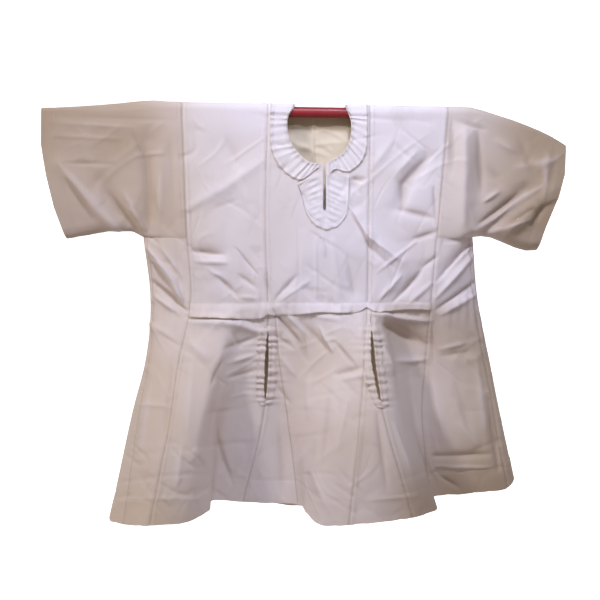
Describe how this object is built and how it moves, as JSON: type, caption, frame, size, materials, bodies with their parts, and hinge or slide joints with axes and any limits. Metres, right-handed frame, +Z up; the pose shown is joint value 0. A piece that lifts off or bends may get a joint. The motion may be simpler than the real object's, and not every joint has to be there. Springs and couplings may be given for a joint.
{
  "type": "fugu smock on a hanging rod",
  "caption": "Wide strip-cloth smock with short wide sleeves, gathered neck band, waist tuck, pocket slits and flared godet skirt, hung over a plain round rod.",
  "frame": {"origin": "on the rod's axis under the neck opening, where the rod is held", "axes": "+X to the viewer's right along the shoulders, the front faces -Y, +Z up"},
  "size_m": [1.0839, 0.277, 0.8673],
  "materials": {
    "cotton": "plain undyed cotton, matt, faint weave",
    "sleeve_cotton": "plain undyed cotton, matt, a little warmer",
    "trim_cotton": "gathered cotton trim, matt",
    "lacquered_wood": "red lacquer, glossy"
  },
  "bodies": {
    "root": {"hanging_rod": "lacquered_wood", "front_left_panel": "cotton", "front_centre_panel": "cotton", "front_right_panel": "cotton", "back_right_panel": "cotton", "back_left_panel": "cotton", "front_left_gore": "cotton", "front_right_gore": "cotton", "back_right_gore": "cotton", "back_left_gore": "cotton", "skirt_left_panel": "cotton", "skirt_left_godet": "cotton", "skirt_centre_panel": "cotton", "skirt_right_godet": "cotton", "skirt_right_panel": "cotton", "waist_tuck": "cotton", "neck_band_left": "trim_cotton", "neck_band_right": "trim_cotton", "neck_placket": "trim_cotton", "back_neck_facing": "trim_cotton", "left_pocket_binding": "trim_cotton", "right_pocket_binding": "trim_cotton", "left_sleeve": "sleeve_cotton", "right_sleeve": "sleeve_cotton"}
  },
  "joints": []
}
